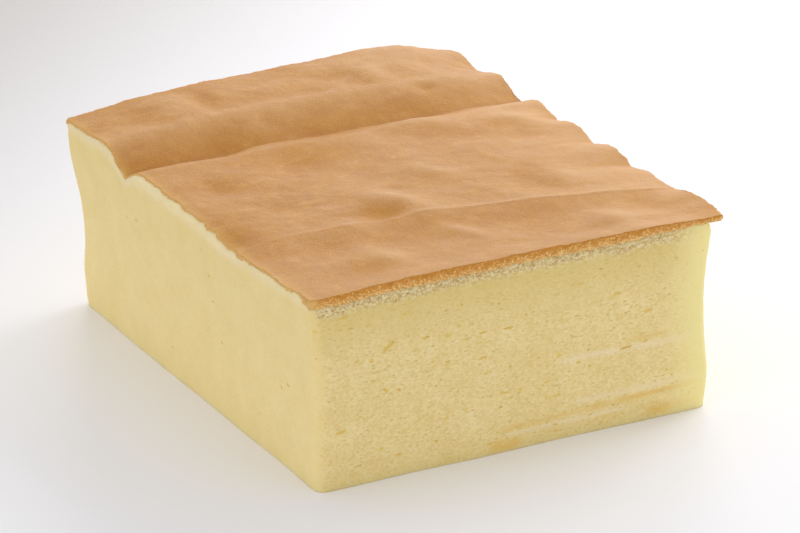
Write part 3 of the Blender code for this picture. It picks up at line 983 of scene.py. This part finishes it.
def grainTree(name, values):
    # small uneven balls, sunk a little, each with a light of its own
    graph = geometryGraph(name, values)
    points, normal = scatteredOn(graph, "grains")
    seed = graph.given("Seed")
    inputs = {0: normal, "Scale": graph.given("Sunk") * -1.0}
    down = graph.add("ShaderNodeVectorMath", {"operation": "SCALE"}, inputs)
    points = graph.add("GeometryNodeSetPosition", {}, {"Geometry": points, "Offset": down})
    points = marked(graph, points, "light", randomValue(graph, 0.0, 1.0, seed + 7.0))
    spread = graph.given("Largest") - graph.given("Smallest")
    radius = graph.given("Smallest") + spread * randomValue(graph, 0.0, 1.0, seed) ** 1.8
    uneven = [radius * randomValue(graph, 0.75, 1.3, seed + 1.0 + axis) for axis in range(3)]
    turned = randomValue(graph, (-3.0, -3.0, -3.0), (3.0, 3.0, 3.0), seed + 5.0, "FLOAT_VECTOR")
    ball = graph.add("GeometryNodeMeshIcoSphere", {}, {"Radius": 1.0, "Subdivisions": 1})
    inputs = {"Points": points, "Instance": ball, "Rotation": turned, "Scale": vector(graph, *uneven)}
    graph.close(graph.add("GeometryNodeInstanceOnPoints", {}, inputs))
    return graph.tree


def makeLargePores(body):
    # closed flattened balls set into the front wall, to be cut out of it
    corners = [vert.co for vert in body.data.vertices]
    walls = BVHTree.FromPolygons(corners, [face.vertices for face in body.data.polygons])
    bm = bmesh.new()
    for across, up, long, high, turn in largePores:
        hit = walls.ray_cast(Vector((across * mm, -1.0, up * mm)), Vector((0.0, 1.0, 0.0)))[0]
        place = Matrix.Translation(hit) @ Matrix.Rotation(math.radians(-turn), 4, "Y")
        place @= Matrix.Diagonal((long / 2.0 * mm, 0.17 * (long + high) / 2.0 * mm, high / 2.0 * mm, 1.0))
        bmesh.ops.create_uvsphere(bm, u_segments=14, v_segments=9, radius=1.0, matrix=place)
    return newPiece("largePores", bm)


def grown(name, base, tree, values, material):
    # the mesh that a tree makes on a piece
    modifier = base.modifiers.new(tree.name, "NODES")
    modifier.node_group = tree
    values = {**values, "Material": material}
    for socket in tree.interface.items_tree:
        if socket.in_out == "INPUT" and socket.name in values:
            modifier[socket.identifier] = values[socket.name]
    evaluated = base.evaluated_get(bpy.context.evaluated_depsgraph_get())
    mesh = bpy.data.meshes.new_from_object(evaluated)
    base.modifiers.remove(modifier)
    mesh.name = name
    return mesh


def fitToFrame(pieces):
    # the middle of the whole size comes over the origin, and nothing stands out of the solid's box
    places = np.array([vert.co for piece in pieces for vert in piece.data.vertices])
    low, high = places.min(axis=0), places.max(axis=0)
    middle = Vector(((low[0] + high[0]) / 2.0, (low[1] + high[1]) / 2.0, 0.0))
    share = min(*(np.array(cadSize) / (high - low)), 1.0)
    for piece in pieces:
        piece.data.transform(Matrix.Scale(share, 4) @ Matrix.Translation(-middle))
    print("fitted at", round(float(share), 4), "of its size")


crustPiece = makeCrust()
crumbPiece = makeCrumb()
largePiece = makeLargePores(crumbPiece)
print("crust", len(crustPiece.data.polygons), "faces, crumb", len(crumbPiece.data.polygons), "faces")

edgeTree = grainTree("edgeGrainTree", edgeGrains)
edgePiece = pieceFrom(grown("edgeGrains", crustPiece, edgeTree, edgeGrains, materials["crust"]))
bandTree = grainTree("bandGrainTree", bandGrains)
bandPiece = pieceFrom(grown("airyGrains", crumbPiece, bandTree, bandGrains, materials["airy"]))
poreValues = {**pores, "Large Pores": largePiece}
crumbPiece.data = grown("crumb", crumbPiece, poreTree(), poreValues, materials["crumb"])
crumbPiece.data.set_sharp_from_angle(angle=crumb["sharpAngle"])
bpy.data.objects.remove(largePiece)
crustPiece.data.materials.append(materials["crust"])
for piece in (crustPiece, crumbPiece, edgePiece, bandPiece):
    print(piece.name, sum(len(face.vertices) - 2 for face in piece.data.polygons), "triangles")

cakePieces = {crustPiece: "crust", crumbPiece: "crumb", edgePiece: "crust", bandPiece: "under_crust"}
fitToFrame(list(cakePieces))
for piece, slot in cakePieces.items():
    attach(piece, "root")
    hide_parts("castella_cake")

studio = {
    "floor": paint(242, 243, 248),
    "floorShade": paint(186, 182, 180),  # painted shade towards the back left, away from the light
    "floorSize": 8.0,
    "floorDrop": 0.02 * mm,
    "shadeAlong": (-0.5, 0.85, 0.0),
    "shadeFade": (0.06, 0.32),  # metres, from and to
    "world": (1.0, 0.985, 0.975, 1.0),
    "worldStrength": 0.77,
    # name: place, size, watts, colour
    "lamps": {
        "window": ((0.88, 0.3, 0.58), 0.6, 4.5, (1.0, 0.985, 0.965)),
        "back": ((0.62, 0.95, 0.44), 0.6, 2.9, (1.0, 0.985, 0.98)),
        "fill": ((-1.7, -0.2, 0.9), 1.2, 3.7, (0.98, 0.98, 1.0)),
    },
    "aim": (0.0, 0.0, 0.03),  # what the lamps point at
}


def makeStudio():
    world = bpy.data.worlds.new("studio")
    bpy.context.scene.world = world
    world.use_nodes = True
    background = world.node_tree.nodes["Background"]
    background.inputs["Color"].default_value = studio["world"]
    background.inputs["Strength"].default_value = studio["worldStrength"]
    for name, (place, size, watts, colour) in studio["lamps"].items():
        data = bpy.data.lights.new(name, "AREA")
        data.size, data.energy, data.color = size, watts, colour
        lamp = bpy.data.objects.new(name, data)
        lamp.location = place
        towards = Vector(studio["aim"]) - Vector(place)
        lamp.rotation_euler = towards.to_track_quat("-Z", "Y").to_euler()
        bpy.context.scene.collection.objects.link(lamp)

    bm = bmesh.new()
    bmesh.ops.create_grid(bm, x_segments=1, y_segments=1, size=studio["floorSize"] / 2.0)
    floor = newPiece("floor", bm)
    floor.location.z = -studio["floorDrop"]
    material, graph = newMaterial("paleFloor")
    place = graph.add("ShaderNodeTexCoord", output="Object")
    inputs = {0: place, 1: studio["shadeAlong"]}
    away = graph.add("ShaderNodeVectorMath", {"operation": "DOT_PRODUCT"}, inputs, "Value")
    # the floor is painted darker towards the back left: painted shade
    colour = graph.mix(away.ramp(*studio["shadeFade"]), studio["floor"], studio["floorShade"])
    graph.finish({"Base Color": colour, "Roughness": 0.55, "Specular IOR Level": 0.3})
    floor.data.materials.append(material)


view = {
    "lens": 225.0,
    "place": (-0.61148, -1.14797, 0.56911),
    "turn": (67.34, 0.0, -28.2),  # degrees
    "farthest": 20.0,
}


def makeCamera():
    data = bpy.data.cameras.new("camera")
    data.lens = view["lens"]
    data.clip_end = view["farthest"]
    camera = bpy.data.objects.new("camera", data)
    camera.location = view["place"]
    camera.rotation_euler = [math.radians(angle) for angle in view["turn"]]
    bpy.context.scene.collection.objects.link(camera)
    bpy.context.scene.camera = camera


makeStudio()
makeCamera()
bpy.context.scene.view_settings.view_transform = "Standard"

print("studio and camera ready")
